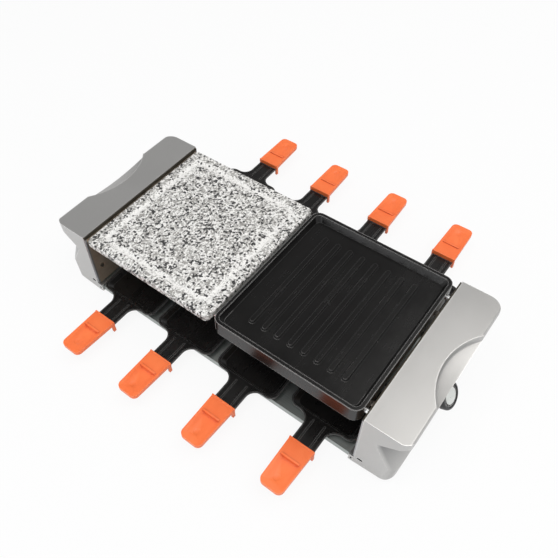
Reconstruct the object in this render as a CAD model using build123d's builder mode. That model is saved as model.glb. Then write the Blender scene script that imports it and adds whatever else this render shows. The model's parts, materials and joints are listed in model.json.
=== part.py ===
from build123d import *
import math
import os

os.makedirs("parts", exist_ok=True)

# Raclette grill for eight pans. Lengths are in millimetres.
# X runs from the left housing to the right one, the front is at -Y and +Z is up.
# The origin is under the middle of the grill, on the surface that it stands on.

# Overall sizes
depth = 225.0
bay_width = 422.0
foot_height = 3.0
overrun = 10.0
seat_gap = 0.3
sheet = 1.0

# End housings
housing_width = 54.0
housing_height = 107.4
housing_wall = 2.5
housing_lean = 7.4
front_corner = 13.0
back_corner = 18.0
top_round = 3.5
bottom_round = 9.0
bottom_rise = 4.5
scoop_reach = 36.0
scoop_height = 73.6
scoop_round = 7.0
scoop_roof_share = 0.74
scoop_floor_share = 1.76
scoop_depth_share = 0.85
crescent_length = 108.6
crescent_reach = 18.5
crescent_drop = 6.5
crescent_flare = 2.5
crescent_slope = 12.0
crescent_round = 2.5
vent_slot_length = 7.2
vent_slot_width = 4.0
vent_slot_inset = 7.2
vent_slot_height = 15.2
lug_reach = 7.0
lug_depth = 12.5
lug_height = 12.0
lug_hole_length = 4.5
lug_hole_width = 2.2

# Base covers, feet and the screws that hold the covers
cover_width = 24.0
cover_inset = 2.0
cover_end_inset = 9.0
cover_rise = 4.0
cover_thickness = 2.0
cover_gap = 0.3
post_radius = 4.0
post_inset = 10.0
post_pitch_x = 14.0
post_pitch_y = 124.0
cover_screw_radius = 1.5
cover_screw_length = 11.0
screw_head_radius = 2.9
screw_head_height = 1.8
screw_hole_gap = 0.1
foot_radius = 8.0
foot_pitch_y = 172.0

# Steel heat shields on the inner walls
shield_stand = 2.0
shield_sheet = 0.8
shield_side_gap = 1.0
shield_top_gap = 1.4
shield_bottom = 12.0
dimple_radius = 4.5
dimple_depth = 1.2
dimple_pitch_y = 196.0
dimple_height = 40.5
shield_screw_length = 8.0

# Rods that carry the plates and tie the housings together
rod_radius = 3.0
rod_inset = 19.5
rod_drop = 16.4
rod_hole_gap = 0.2
rod_end = 10.0
nut_flats = 10.0
nut_height = 5.0
thread_gap = 0.05

# Tray that the pans slide on
tray_height = 9.5
tray_lip_height = 8.5
tray_front_inset = 3.0
tray_end_gap = 0.2
tray_screw_pitch = 120.0
tray_screw_height = 5.0
tray_screw_length = 3.5

# Heating element
element_radius = 3.25
element_drop = 14.0
element_rod_gap = 18.0
element_left_gap = 9.0
element_right_gap = 41.0
element_bend_share = 0.44
element_tail = 12.0
bush_radius = 6.0
bush_flange_radius = 8.0
bush_flange = 2.0
bush_gap = 0.2
pin_radius = 1.6
pin_length = 14.0
strip_width = 12.0
strip_thickness = 1.2
strip_shoulder = 5.0
clip_width = 12.0
clip_lip = 4.0

# Granite plate
granite_length = 206.0
granite_depth = 222.0
granite_thickness = 8.7
granite_corner = 7.0
granite_arris = 2.0
granite_side_gap = 1.0
groove_inset = 17.5
groove_radius = 6.0
groove_depth = 1.8
groove_corner = 12.0

# Cast grill plate
grill_length = 200.0
grill_depth = 220.0
grill_side_gap = 5.0
grill_corner = 12.0
grill_floor = 3.7
grill_well = 8.5
grill_skirt = 10.3
grill_skirt_wall = 3.5
grill_rim = 5.0
grill_slope = 4.0
rib_count = 8
rib_pitch = 18.2
rib_width = 8.0
rib_height = 3.0
rib_length = 164.0
rib_taper = 18.0
notch_gap = 0.6

# Thermostat dial, tilted up out of the right-hand wall
dial_tilt = 30.0
dial_height = 47.6
dial_sink = 3.6
knob_radius = 17.5
knob_wall = 1.8
knob_height = 9.0
knob_crown = 2.5
knob_round = 2.0
knob_seat_gap = 0.6
knob_side_gap = 1.2
hub_radius = 5.5
shaft_radius = 3.0
shaft_fit = 0.08
shaft_bury = 7.5
cap_radius = 14.0
cap_thickness = 1.2
cap_disc_radius = 10.4
cap_disc_rise = 0.7
pip_radius = 1.4
pip_offset = 3.5
pip_rise = 0.6
bezel_wall = 1.6
bezel_floor = 3.0
bezel_gap = 0.3
bezel_reach = 22.0
pod_radius = 17.0
pod_wall = 3.0
stat_radius = 12.0
stat_length = 18.0
bushing_radius = 4.0
bushing_height = 4.0
stat_nut_flats = 12.0
stat_nut_height = 3.0

# Wiring pieces inside the right-hand housing
gland_radius = 5.5
gland_flange_radius = 7.5
gland_flange = 2.5
gland_bore = 3.5
gland_inset = 13.0
gland_height = 27.0
gland_length = 12.0
block_length = 24.0
block_width = 14.0
block_height = 12.0
block_inset = 4.0
block_offset = 84.0
block_hole_radius = 1.8
block_hole_pitch = 7.0
fuse_radius = 2.5
fuse_length = 16.0
fuse_height = 57.0
fuse_offset = 20.0

# Pans
pan_count = 4
pan_width = 93.0
pan_depth = 92.0
pan_sheet = 1.0
pan_bowl = 7.2
pan_corner = 12.0
pan_neck_length = 37.0
pan_neck_width = 31.0
pan_neck_flare = 14.0
pan_rim = 2.5
pan_slope = 4.5
pan_bead_width = 1.5
pan_bead_height = 0.8
tang_length = 14.0
tang_width = 20.0
tang_hole = 6.0
neck_groove_pitch = 16.0
neck_groove_width = 2.0
neck_groove_depth = 0.5

# Where each pan rests: across the bay, and how far its handle flange stands out
front_pan_x = (-153.9, -51.6, 51.9, 157.7)
front_pan_reach = (38.2, 38.9, 39.3, 26.6)
back_pan_x = (-161.5, -58.1, 48.1, 155.5)
back_pan_reach = (112.2, 106.8, 103.3, 100.5)

# Pan handles
handle_length = 64.5
handle_width = 33.8
handle_end_width = 30.3
handle_corner = 7.0
handle_rise = 6.6
handle_drop = 7.4
handle_end_drop = 0.6
handle_step_start = 20.0
handle_step_end = 25.0
handle_step = 2.3
handle_bend = 8.0
handle_wall = 3.0
handle_edge = 1.2
ridge_length = 3.0
ridge_rise = 1.0
guard_thickness = 3.0
guard_drop = 14.5
guard_flare = 2.5
guard_leg = 8.0
tab_place = 27.0
tab_thickness = 2.5
tab_drop = 7.6
dish_place = 45.0
dish_radius = 32.0
dish_depth = 1.3
tang_gap = 0.1

# Levels and places worked out from the sizes above
half_bay = bay_width / 2
half_depth = depth / 2
base_z = foot_height
top_z = base_z + housing_height
outer_x = half_bay + housing_width
inner_wall_x = half_bay + housing_wall
cover_z = base_z + cover_rise
post_z = cover_z + cover_thickness
post_x = half_bay + post_inset + post_pitch_x / 2
shield_x = half_bay - shield_stand
rod_z = top_z - rod_drop
rod_pitch = depth - 2 * rod_inset
plate_z = rod_z + rod_radius + seat_gap
tray_z = base_z + tray_height
element_z = rod_z - element_drop
dimple_z = base_z + dimple_height
screw_z = base_z + tray_screw_height
pan_z = tray_z + seat_gap + pan_bowl
lean_angle = math.degrees(math.atan2(housing_lean, housing_height))
lean_plane = Plane(
    origin=(outer_x - housing_lean, 0, base_z),
    x_dir=(math.cos(math.radians(lean_angle)), 0, -math.sin(math.radians(lean_angle))),
    z_dir=(math.sin(math.radians(lean_angle)), 0, math.cos(math.radians(lean_angle))),
)


def outer_wall_x(z):
    """Place of the leaning outer wall at height z."""
    return outer_x - housing_lean * (top_z - z) / housing_height


def save(part, label):
    part.label = label
    export_step(part, f"parts/{label}.step")


def housing_form(inset):
    """Solid form of the right-hand housing, drawn in by inset."""
    low = base_z + bottom_rise + inset
    high = top_z - inset
    with BuildPart() as form:
        # Block with two rounded corners, standing at the outer wall's lean
        with BuildSketch(lean_plane) as plan:
            with Locations((-housing_width, 0)):
                Rectangle(2 * housing_width - 2 * inset, depth - 2 * inset)
            outer_corners = plan.vertices().group_by(Axis.X)[-1].sort_by(Axis.Y)
            fillet(outer_corners[0], front_corner - inset)
            outer_corners = plan.vertices().group_by(Axis.X)[-1].sort_by(Axis.Y)
            fillet(outer_corners[-1], back_corner - inset)
        extrude(amount=2 * housing_height, both=True)
        # What is left of it inside the side view
        with BuildSketch(Plane.XZ) as profile:
            with BuildLine():
                Polyline(
                    (half_bay + inset, base_z + inset),
                    (outer_wall_x(low) - inset, low),
                    (outer_wall_x(high) - inset, high),
                    (half_bay + inset, high),
                    close=True,
                )
            make_face()
            fillet(profile.vertices().sort_by_distance((outer_wall_x(high), high))[0], top_round - inset)
            fillet(profile.vertices().sort_by_distance((outer_wall_x(low), low))[0], bottom_round - inset)
        extrude(amount=half_depth, both=True, mode=Mode.INTERSECT)
    return form.part


def corner_scoops(grow):
    """Three-cornered notches across the two outer corners, grown by grow all round."""
    run = scoop_reach + overrun
    apex_x = outer_x - scoop_reach
    apex_z = base_z + scoop_height
    with BuildPart() as scoops:
        with BuildSketch(Plane.XZ.offset(half_depth - grow)) as notch:
            with BuildLine():
                Polyline(
                    (apex_x, apex_z),
                    (apex_x + run, apex_z + scoop_roof_share * run),
                    (apex_x + run, apex_z - scoop_floor_share * run),
                    close=True,
                )
            make_face()
            fillet(notch.vertices().sort_by(Axis.X)[0], scoop_round)
            if grow > 0:
                offset(amount=grow)
        extrude(amount=2 * run, dir=(1, scoop_depth_share, 0), both=True)
        mirror(about=Plane.XZ)
    return scoops.part


def crescent_tool(grow):
    """Flat cone that cuts the crescent recess out of the top, grown by grow all round."""
    radius = ((crescent_length / 2) ** 2 + crescent_reach**2) / (2 * crescent_reach)
    foot_z = top_z - crescent_drop
    dip = radius * math.tan(math.radians(crescent_slope))
    with BuildPart() as cone:
        with BuildSketch(Plane.XZ) as half:
            with BuildLine():
                Polyline(
                    (0, foot_z - dip),
                    (radius, foot_z),
                    (radius + crescent_flare, top_z),
                    (radius + crescent_flare, top_z + overrun),
                    (0, top_z + overrun),
                    close=True,
                )
            make_face()
            fillet(half.vertices().sort_by_distance((radius, foot_z))[0], crescent_round)
            if grow > 0:
                offset(amount=grow)
            with Locations((-overrun, 0)):
                Rectangle(2 * overrun, 4 * top_z, mode=Mode.SUBTRACT)
        revolve(axis=Axis.Z)
    return cone.part.moved(Location((outer_x - crescent_reach + radius, 0, 0)))


outer_form = housing_form(0)
inner_form = housing_form(housing_wall)
outer_scoops = corner_scoops(0)
inner_scoops = corner_scoops(housing_wall)
outer_crescent = crescent_tool(0)
inner_crescent = crescent_tool(housing_wall)
cover_x = inner_wall_x + cover_inset + cover_width / 2
cover_depth = depth - 2 * (housing_wall + cover_end_inset)
screw_hole_radius = cover_screw_radius + screw_hole_gap
post_places = [
    (post_x + side_x * post_pitch_x / 2, side_y * post_pitch_y / 2)
    for side_x in (-1, 1)
    for side_y in (-1, 1)
]

# Dial axis: the seat is where the knob's underside turns, the axis rises outward
wall_plane_z = base_z + dial_height
dial_seat = Vector(outer_wall_x(wall_plane_z) - dial_sink, 0, wall_plane_z)
dial_axis = Vector(math.cos(math.radians(dial_tilt)), 0, math.sin(math.radians(dial_tilt)))
dial_plane = Plane(origin=dial_seat, x_dir=(0, 1, 0), z_dir=dial_axis)
wall_plane = Plane(
    origin=(outer_wall_x(wall_plane_z), 0, wall_plane_z),
    x_dir=(0, 1, 0),
    z_dir=(math.cos(math.radians(lean_angle)), 0, -math.sin(math.radians(lean_angle))),
)
pocket_radius = knob_radius + knob_side_gap
bezel_radius = pocket_radius + bezel_wall


def dial_rod(radius, start, length):
    """Plain cylinder on the dial axis, from start and length long."""
    with BuildPart() as rod:
        with BuildSketch(dial_plane.offset(start)):
            Circle(radius)
        extrude(amount=length)
    return rod.part


def housing_shell():
    """Right-hand shell with everything that both housings share."""
    with BuildPart() as shell:
        add(outer_form)
        add(outer_scoops, mode=Mode.SUBTRACT)
        add(outer_crescent, mode=Mode.SUBTRACT)
        with BuildPart(mode=Mode.PRIVATE) as cavity:
            add(inner_form)
            add(inner_scoops, mode=Mode.SUBTRACT)
            add(inner_crescent, mode=Mode.SUBTRACT)
        add(cavity.part, mode=Mode.SUBTRACT)
        # Opening underneath for the base cover
        with BuildSketch(Plane.XY.offset(base_z - overrun)):
            with Locations((cover_x, 0)):
                Rectangle(cover_width + 2 * cover_gap, cover_depth + 2 * cover_gap)
        extrude(amount=overrun + cover_rise + bottom_rise, mode=Mode.SUBTRACT)
        # Posts that the base cover is screwed to
        with BuildSketch(Plane.XY.offset(post_z)):
            with Locations(*post_places):
                Circle(post_radius)
        extrude(amount=top_z - housing_wall / 2 - post_z)
        with BuildSketch(Plane.XY.offset(post_z - overrun)):
            with Locations(*post_places):
                Circle(screw_hole_radius)
        extrude(amount=overrun + cover_screw_length + cover_thickness, mode=Mode.SUBTRACT)
        # Lugs that hold the ends of the tray's lips
        for side in (-1, 1):
            lug_y = side * (half_depth - lug_depth / 2)
            with Locations((half_bay - lug_reach / 2, lug_y, base_z + lug_height / 2)):
                Box(lug_reach, lug_depth, lug_height)
            face_y = side * half_depth
            with Locations((half_bay - lug_reach / 2, face_y, base_z + lug_height / 2)):
                Box(lug_hole_width, lug_depth, lug_hole_length, mode=Mode.SUBTRACT)
        # Slot low in the front and back faces
        with BuildSketch(Plane.XZ):
            with Locations((half_bay + vent_slot_inset, base_z + vent_slot_height)):
                SlotOverall(vent_slot_length, vent_slot_width)
        extrude(amount=half_depth + overrun, both=True, mode=Mode.SUBTRACT)
        # Holes through the inner wall for the rods, shield screws and tray screws
        with BuildSketch(Plane.YZ.offset(half_bay - overrun)):
            with Locations((-rod_pitch / 2, rod_z), (rod_pitch / 2, rod_z)):
                Circle(rod_radius + rod_hole_gap)
            with Locations((-dimple_pitch_y / 2, dimple_z), (dimple_pitch_y / 2, dimple_z)):
                Circle(screw_hole_radius)
            with Locations((-tray_screw_pitch / 2, screw_z), (tray_screw_pitch / 2, screw_z)):
                Circle(screw_hole_radius)
        extrude(amount=overrun + housing_wall + overrun / 2, mode=Mode.SUBTRACT)
    return shell.part


shared_shell = housing_shell()

with BuildPart() as left_housing:
    add(shared_shell)
    mirror(about=Plane.YZ, mode=Mode.REPLACE)
save(left_housing.part, "left_housing")

element_y = rod_pitch / 2 - element_rod_gap
element_pass_pitch = 2 * element_y / 3
gland_x = half_bay + gland_inset
gland_z = base_z + gland_height

with BuildPart() as right_housing:
    add(shared_shell)
    add(dial_rod(bezel_radius + bezel_gap, -bezel_reach, 2 * bezel_reach), mode=Mode.SUBTRACT)
    with BuildSketch(Plane.YZ.offset(half_bay - overrun)):
        with Locations((-element_y, element_z), (element_y, element_z)):
            Circle(bush_radius + bush_gap)
    extrude(amount=overrun + housing_wall + overrun / 2, mode=Mode.SUBTRACT)
    with BuildSketch(Plane.XZ.offset(-half_depth - overrun)):
        with Locations((gland_x, gland_z)):
            Circle(gland_radius + bush_gap)
    extrude(amount=overrun + housing_wall + overrun / 2, mode=Mode.SUBTRACT)
save(right_housing.part, "right_housing")

# Base covers: one flat plate in the underside of each housing
for label, side in (("left_base_cover", -1), ("right_base_cover", 1)):
    with BuildPart() as base_cover:
        with BuildSketch(Plane.XY.offset(cover_z)):
            with Locations((side * cover_x, 0)):
                Rectangle(cover_width, cover_depth)
            with Locations(*[(side * x, y) for x, y in post_places]):
                Circle(screw_hole_radius, mode=Mode.SUBTRACT)
        extrude(amount=cover_thickness)
    save(base_cover.part, label)

with BuildPart() as base_cover_screws:
    for side in (-1, 1):
        places = [(side * x, y) for x, y in post_places]
        with BuildSketch(Plane.XY.offset(cover_z - screw_head_height)):
            with Locations(*places):
                Circle(screw_head_radius)
        extrude(amount=screw_head_height)
        with BuildSketch(Plane.XY.offset(cover_z)):
            with Locations(*places):
                Circle(cover_screw_radius)
        extrude(amount=cover_screw_length)
save(base_cover_screws.part, "base_cover_screws")

foot_places = [(side_x * post_x, side_y * foot_pitch_y / 2) for side_x in (-1, 1) for side_y in (-1, 1)]
with BuildPart() as rubber_feet:
    with BuildSketch():
        with Locations(*foot_places):
            Circle(foot_radius)
    extrude(amount=cover_z)
save(rubber_feet.part, "rubber_feet")

# Heat shields: dished steel sheets that stand off the inner walls
shield_depth = depth - 2 * shield_side_gap
shield_z = base_z + shield_bottom
shield_height = top_z - shield_top_gap - shield_z
dimple_places = [(-dimple_pitch_y / 2, dimple_z), (dimple_pitch_y / 2, dimple_z)]
rod_places = [(-rod_pitch / 2, rod_z), (rod_pitch / 2, rod_z)]


def heat_shield(round_holes, hole_radius):
    """Right-hand shield, with extra round holes at the given places."""
    with BuildPart() as shield:
        with BuildSketch(Plane.YZ.offset(shield_x)):
            with Locations((0, shield_z + shield_height / 2)):
                Rectangle(shield_depth, shield_height)
        extrude(amount=shield_stand)
        with BuildSketch(Plane.YZ.offset(shield_x + shield_sheet)):
            with Locations((0, shield_z + shield_height / 2)):
                Rectangle(shield_depth - 2 * shield_sheet, shield_height - 2 * shield_sheet)
        extrude(amount=shield_stand, mode=Mode.SUBTRACT)
        with BuildSketch(Plane.YZ.offset(shield_x)):
            with Locations(*dimple_places):
                Circle(dimple_radius + shield_sheet)
        extrude(amount=shield_stand)
        with BuildSketch(Plane.YZ.offset(shield_x)):
            with Locations(*dimple_places):
                Circle(dimple_radius)
        extrude(amount=dimple_depth, mode=Mode.SUBTRACT)
        with BuildSketch(Plane.YZ.offset(shield_x)):
            with Locations(*dimple_places):
                Circle(screw_hole_radius)
            with Locations(*rod_places):
                Circle(rod_radius + rod_hole_gap)
            if round_holes:
                with Locations(*round_holes):
                    Circle(hole_radius)
        extrude(amount=shield_stand, mode=Mode.SUBTRACT)
    return shield.part


element_ends = [(-element_y, element_z), (element_y, element_z)]
save(heat_shield(element_ends, bush_radius + bush_gap), "right_heat_shield")
with BuildPart() as left_heat_shield:
    add(heat_shield([], 0))
    mirror(about=Plane.YZ, mode=Mode.REPLACE)
save(left_heat_shield.part, "left_heat_shield")

# Pan-head screws lie in the dimples and bite into the housing walls
with BuildPart() as shield_screws:
    dimple_floor = shield_x + dimple_depth
    with BuildSketch(Plane.YZ.offset(dimple_floor - screw_head_height)):
        with Locations(*dimple_places):
            Circle(screw_head_radius)
    extrude(amount=screw_head_height)
    with BuildSketch(Plane.YZ.offset(dimple_floor)):
        with Locations(*dimple_places):
            Circle(cover_screw_radius)
    extrude(amount=shield_screw_length)
    mirror(about=Plane.YZ)
save(shield_screws.part, "shield_screws")

# Rods and their nuts
rod_half = inner_wall_x + rod_end
for label, side in (("front_support_rod", -1), ("rear_support_rod", 1)):
    with BuildPart() as rod:
        with BuildSketch(Plane.YZ):
            with Locations((side * rod_pitch / 2, rod_z)):
                Circle(rod_radius)
        extrude(amount=rod_half, both=True)
    save(rod.part, label)

with BuildPart() as rod_nuts:
    with BuildSketch(Plane.YZ.offset(inner_wall_x)):
        with Locations(*rod_places):
            RegularPolygon(nut_flats / 2, 6, major_radius=False)
            Circle(rod_radius + thread_gap, mode=Mode.SUBTRACT)
    extrude(amount=nut_height)
    mirror(about=Plane.YZ)
save(rod_nuts.part, "rod_nuts")

# Tray: a folded sheet with a lip along the front and back and a flange at each end
tray_half_length = half_bay - tray_end_gap
tray_half_depth = half_depth - tray_front_inset
with BuildPart() as pan_tray:
    with BuildSketch(Plane.XY.offset(tray_z - sheet)):
        Rectangle(2 * tray_half_length, 2 * tray_half_depth)
        notch_x = half_bay - lug_reach - seat_gap
        notch_y = half_depth - lug_depth - seat_gap
        for side_x in (-1, 1):
            for side_y in (-1, 1):
                with Locations((side_x * (notch_x + overrun), side_y * (notch_y + overrun))):
                    Rectangle(2 * overrun, 2 * overrun, mode=Mode.SUBTRACT)
    extrude(amount=sheet)
    for side_y in (-1, 1):
        with Locations((0, side_y * (tray_half_depth - sheet / 2), tray_z - tray_lip_height / 2)):
            Box(2 * notch_x, sheet, tray_lip_height)
    for side_x in (-1, 1):
        with Locations((side_x * (tray_half_length - sheet / 2), 0, tray_z - tray_lip_height / 2)):
            Box(sheet, 2 * notch_y, tray_lip_height)
    with BuildSketch(Plane.YZ):
        with Locations((-tray_screw_pitch / 2, screw_z), (tray_screw_pitch / 2, screw_z)):
            Circle(screw_hole_radius)
    extrude(amount=half_bay, both=True, mode=Mode.SUBTRACT)
save(pan_tray.part, "pan_tray")

with BuildPart() as tray_screws:
    tray_screw_places = [(-tray_screw_pitch / 2, screw_z), (tray_screw_pitch / 2, screw_z)]
    flange_x = tray_half_length - sheet
    with BuildSketch(Plane.YZ.offset(flange_x - screw_head_height)):
        with Locations(*tray_screw_places):
            Circle(screw_head_radius)
    extrude(amount=screw_head_height)
    with BuildSketch(Plane.YZ.offset(flange_x)):
        with Locations(*tray_screw_places):
            Circle(cover_screw_radius)
    extrude(amount=tray_screw_length)
    mirror(about=Plane.YZ)
save(tray_screws.part, "tray_screws")

# Heating element: a round sheathed tube laid in four passes
element_left = -(shield_x - element_left_gap)
element_right = shield_x - element_right_gap
element_in = inner_wall_x + element_tail
inner_y = element_pass_pitch / 2
with BuildPart() as heating_element:
    with BuildLine() as element_path:
        FilletPolyline(
            (element_in, -element_y, element_z),
            (element_left, -element_y, element_z),
            (element_left, -inner_y, element_z),
            (element_right, -inner_y, element_z),
            (element_right, inner_y, element_z),
            (element_left, inner_y, element_z),
            (element_left, element_y, element_z),
            (element_in, element_y, element_z),
            radius=element_bend_share * element_pass_pitch,
        )
    with BuildSketch(Plane(origin=element_path.line @ 0, z_dir=element_path.line % 0)):
        Circle(element_radius)
    sweep()
save(heating_element.part, "heating_element")

# Ceramic bushes where the element passes the inner wall
with BuildPart() as element_insulators:
    with BuildSketch(Plane.YZ.offset(inner_wall_x)):
        with Locations(*element_ends):
            Circle(bush_flange_radius)
    extrude(amount=bush_flange)
    with BuildSketch(Plane.YZ.offset(shield_x)):
        with Locations(*element_ends):
            Circle(bush_radius)
    extrude(amount=shield_stand + housing_wall)
    with BuildSketch(Plane.YZ.offset(shield_x)):
        with Locations(*element_ends):
            Circle(element_radius + thread_gap)
    extrude(amount=shield_stand + housing_wall + overrun, mode=Mode.SUBTRACT)
save(element_insulators.part, "element_insulators")

with BuildPart() as element_terminals:
    with BuildSketch(Plane.YZ.offset(element_in)):
        with Locations(*element_ends):
            Circle(pin_radius)
    extrude(amount=pin_length)
save(element_terminals.part, "element_terminals")

# Notched steel strip that hangs on both rods and holds up the middle of the element
strip_low = element_z - element_radius - strip_shoulder
strip_x = -granite_side_gap / 2
with BuildPart() as element_support:
    with BuildSketch(Plane.YZ.offset(strip_x)):
        with Locations((0, strip_low + strip_width / 2)):
            Rectangle(rod_pitch + strip_width, strip_width)
        for side in (-1, 1):
            tab_height = rod_z - strip_low
            with Locations((side * rod_pitch / 2, strip_low + tab_height / 2)):
                Rectangle(strip_width, tab_height)
            with Locations((side * rod_pitch / 2, rod_z)):
                Circle(strip_width / 2)
                Circle(rod_radius + thread_gap, mode=Mode.SUBTRACT)
        for pass_y in (-element_y, -inner_y, inner_y, element_y):
            with Locations((pass_y, element_z)):
                Circle(element_radius + bush_gap, mode=Mode.SUBTRACT)
            with Locations((pass_y, element_z + strip_width / 2)):
                Rectangle(2 * (element_radius + bush_gap), strip_width, mode=Mode.SUBTRACT)
    extrude(amount=strip_thickness)
save(element_support.part, "element_support")

# Clips on the left shield under the two left-hand bends
clip_z = element_z - element_radius - seat_gap - strip_thickness
clip_reach = element_left_gap + element_radius + seat_gap + strip_thickness
with BuildPart() as element_clips:
    for pass_y in (-element_pass_pitch, element_pass_pitch):
        with Locations((-shield_x + clip_reach / 2, pass_y, clip_z + strip_thickness / 2)):
            Box(clip_reach, clip_width, strip_thickness)
        with Locations((-shield_x + clip_reach - strip_thickness / 2, pass_y, clip_z + clip_lip / 2)):
            Box(strip_thickness, clip_width, clip_lip)
        with Locations((-shield_x + strip_thickness / 2, pass_y, clip_z - clip_lip / 2)):
            Box(strip_thickness, clip_width, clip_lip)
save(element_clips.part, "element_clips")

# Granite plate with a juice groove
granite_x = -(shield_x - granite_side_gap - granite_length / 2)
granite_top = plate_z + granite_thickness
with BuildSketch(Plane.XY.offset(granite_top - groove_depth + groove_radius)) as groove_line:
    with Locations((granite_x, 0)):
        RectangleRounded(granite_length - 2 * groove_inset, granite_depth - 2 * groove_inset, groove_corner)
groove_wire = groove_line.sketch.face().outer_wire()
with BuildPart() as granite_plate:
    with BuildSketch(Plane.XY.offset(plate_z)):
        with Locations((granite_x, 0)):
            RectangleRounded(granite_length, granite_depth, granite_corner)
    extrude(amount=granite_thickness)
    fillet(granite_plate.edges().group_by(Axis.Z)[-1], granite_arris)
    with BuildSketch(Plane(origin=groove_wire @ 0, z_dir=groove_wire % 0)):
        Circle(groove_radius)
    sweep(path=groove_wire, mode=Mode.SUBTRACT)
save(granite_plate.part, "granite_plate")

# Cast grill plate: a ribbed floor in a raised rim, with a skirt that drops past the rods
grill_x = shield_x - grill_side_gap - grill_length / 2
grill_floor_z = plate_z + grill_floor
grill_top = grill_floor_z + grill_well
grill_low = plate_z - grill_skirt
with BuildPart() as grill_plate:
    with BuildSketch(Plane.XY.offset(grill_low)):
        with Locations((grill_x, 0)):
            RectangleRounded(grill_length, grill_depth, grill_corner)
    extrude(amount=grill_top - grill_low)
    for z, inset in ((grill_floor_z, grill_rim + grill_slope), (grill_top, grill_rim)):
        with BuildSketch(Plane.XY.offset(z)):
            with Locations((grill_x, 0)):
                RectangleRounded(grill_length - 2 * inset, grill_depth - 2 * inset, grill_corner - grill_rim)
    loft(ruled=True, mode=Mode.SUBTRACT)
    with BuildSketch(Plane.XY.offset(grill_low)):
        with Locations((grill_x, 0)):
            RectangleRounded(
                grill_length - 2 * grill_skirt_wall,
                grill_depth - 2 * grill_skirt_wall,
                grill_corner - grill_skirt_wall,
            )
    extrude(amount=grill_skirt, mode=Mode.SUBTRACT)
    for side in (-1, 1):
        notch_width = 2 * (rod_radius + notch_gap)
        with Locations((grill_x, side * rod_pitch / 2, plate_z - grill_skirt / 2)):
            Box(grill_length + overrun, notch_width, grill_skirt, mode=Mode.SUBTRACT)
    with BuildSketch(Plane.XY.offset(grill_floor_z)):
        with Locations((grill_x, 0)):
            with GridLocations(rib_pitch, 0, rib_count, 1):
                SlotOverall(rib_length, rib_width, rotation=90)
    extrude(amount=rib_height, taper=rib_taper)
save(grill_plate.part, "grill_plate")

# Bezel: a flush plate in the leaning wall, a sunken cup for the knob and a pod below it
with BuildPart() as thermostat_bezel:
    add(dial_rod(bezel_radius, -bezel_reach, 2 * bezel_reach))
    split(bisect_by=wall_plane, keep=Keep.BOTTOM)
    with BuildPart(mode=Mode.PRIVATE) as behind_cup:
        add(dial_rod(bezel_radius + overrun, -bezel_reach - overrun, bezel_reach + overrun - bezel_floor))
        split(bisect_by=wall_plane.offset(-bezel_floor), keep=Keep.BOTTOM)
    add(behind_cup.part, mode=Mode.SUBTRACT)
    with BuildPart(mode=Mode.PRIVATE) as pod:
        add(dial_rod(pod_radius, -bezel_reach, bezel_reach))
        split(bisect_by=wall_plane, keep=Keep.TOP)
    add(pod.part)
    add(dial_rod(pod_radius - pod_wall, -bezel_reach - overrun, bezel_reach + overrun - bezel_floor),
        mode=Mode.SUBTRACT)
    add(dial_rod(pocket_radius, 0, 2 * bezel_reach), mode=Mode.SUBTRACT)
    add(dial_rod(bushing_radius + thread_gap, -bezel_reach, bezel_reach + overrun), mode=Mode.SUBTRACT)
save(thermostat_bezel.part, "thermostat_bezel")

with BuildPart() as thermostat_body:
    add(dial_rod(stat_radius, -bezel_floor - stat_length, stat_length))
    add(dial_rod(bushing_radius, -bezel_floor, bezel_floor + bushing_height))
    add(dial_rod(shaft_radius + shaft_fit, -shaft_bury - shaft_fit, shaft_bury + overrun), mode=Mode.SUBTRACT)
save(thermostat_body.part, "thermostat_body")

with BuildPart() as thermostat_nut:
    with BuildSketch(dial_plane):
        RegularPolygon(stat_nut_flats / 2, 6, major_radius=False)
        Circle(bushing_radius + thread_gap, mode=Mode.SUBTRACT)
    extrude(amount=stat_nut_height)
save(thermostat_nut.part, "thermostat_nut")

knob_top = knob_seat_gap + knob_height
shaft_top = knob_top - knob_crown + knob_crown / 2
save(dial_rod(shaft_radius, -shaft_bury, shaft_bury + shaft_top), "thermostat_shaft")

with BuildPart() as thermostat_knob:
    with BuildSketch(dial_plane.offset(knob_seat_gap)):
        Circle(knob_radius)
    extrude(amount=knob_height)
    fillet(thermostat_knob.faces().sort_by(Axis(dial_seat, dial_axis))[-1].edges(), knob_round)
    with BuildSketch(dial_plane.offset(knob_seat_gap)):
        Circle(knob_radius - knob_wall)
        Circle(hub_radius, mode=Mode.SUBTRACT)
    extrude(amount=knob_height - knob_crown, mode=Mode.SUBTRACT)
    add(dial_rod(hub_radius + bush_gap, 0, bushing_height + seat_gap), mode=Mode.SUBTRACT)
    add(dial_rod(shaft_radius + thread_gap, 0, shaft_top + thread_gap), mode=Mode.SUBTRACT)
save(thermostat_knob.part, "thermostat_knob")

with BuildPart() as knob_cap:
    add(dial_rod(cap_radius, knob_top, cap_thickness))
    add(dial_rod(cap_disc_radius, knob_top + cap_thickness, cap_disc_rise))
    with BuildSketch(dial_plane.offset(knob_top + cap_thickness + cap_disc_rise)):
        with Locations((0, -pip_offset)):
            Circle(pip_radius)
    extrude(amount=pip_rise)
save(knob_cap.part, "knob_cap")

# Wiring pieces in the right-hand housing
with BuildPart() as cord_gland:
    with BuildSketch(Plane.XZ.offset(-half_depth - gland_flange)):
        with Locations((gland_x, gland_z)):
            Circle(gland_flange_radius)
    extrude(amount=gland_flange)
    with BuildSketch(Plane.XZ.offset(-half_depth)):
        with Locations((gland_x, gland_z)):
            Circle(gland_radius)
    extrude(amount=gland_length)
    with BuildSketch(Plane.XZ.offset(-half_depth - gland_flange)):
        with Locations((gland_x, gland_z)):
            Circle(gland_bore)
    extrude(amount=gland_flange + gland_length, mode=Mode.SUBTRACT)
save(cord_gland.part, "cord_gland")

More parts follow.
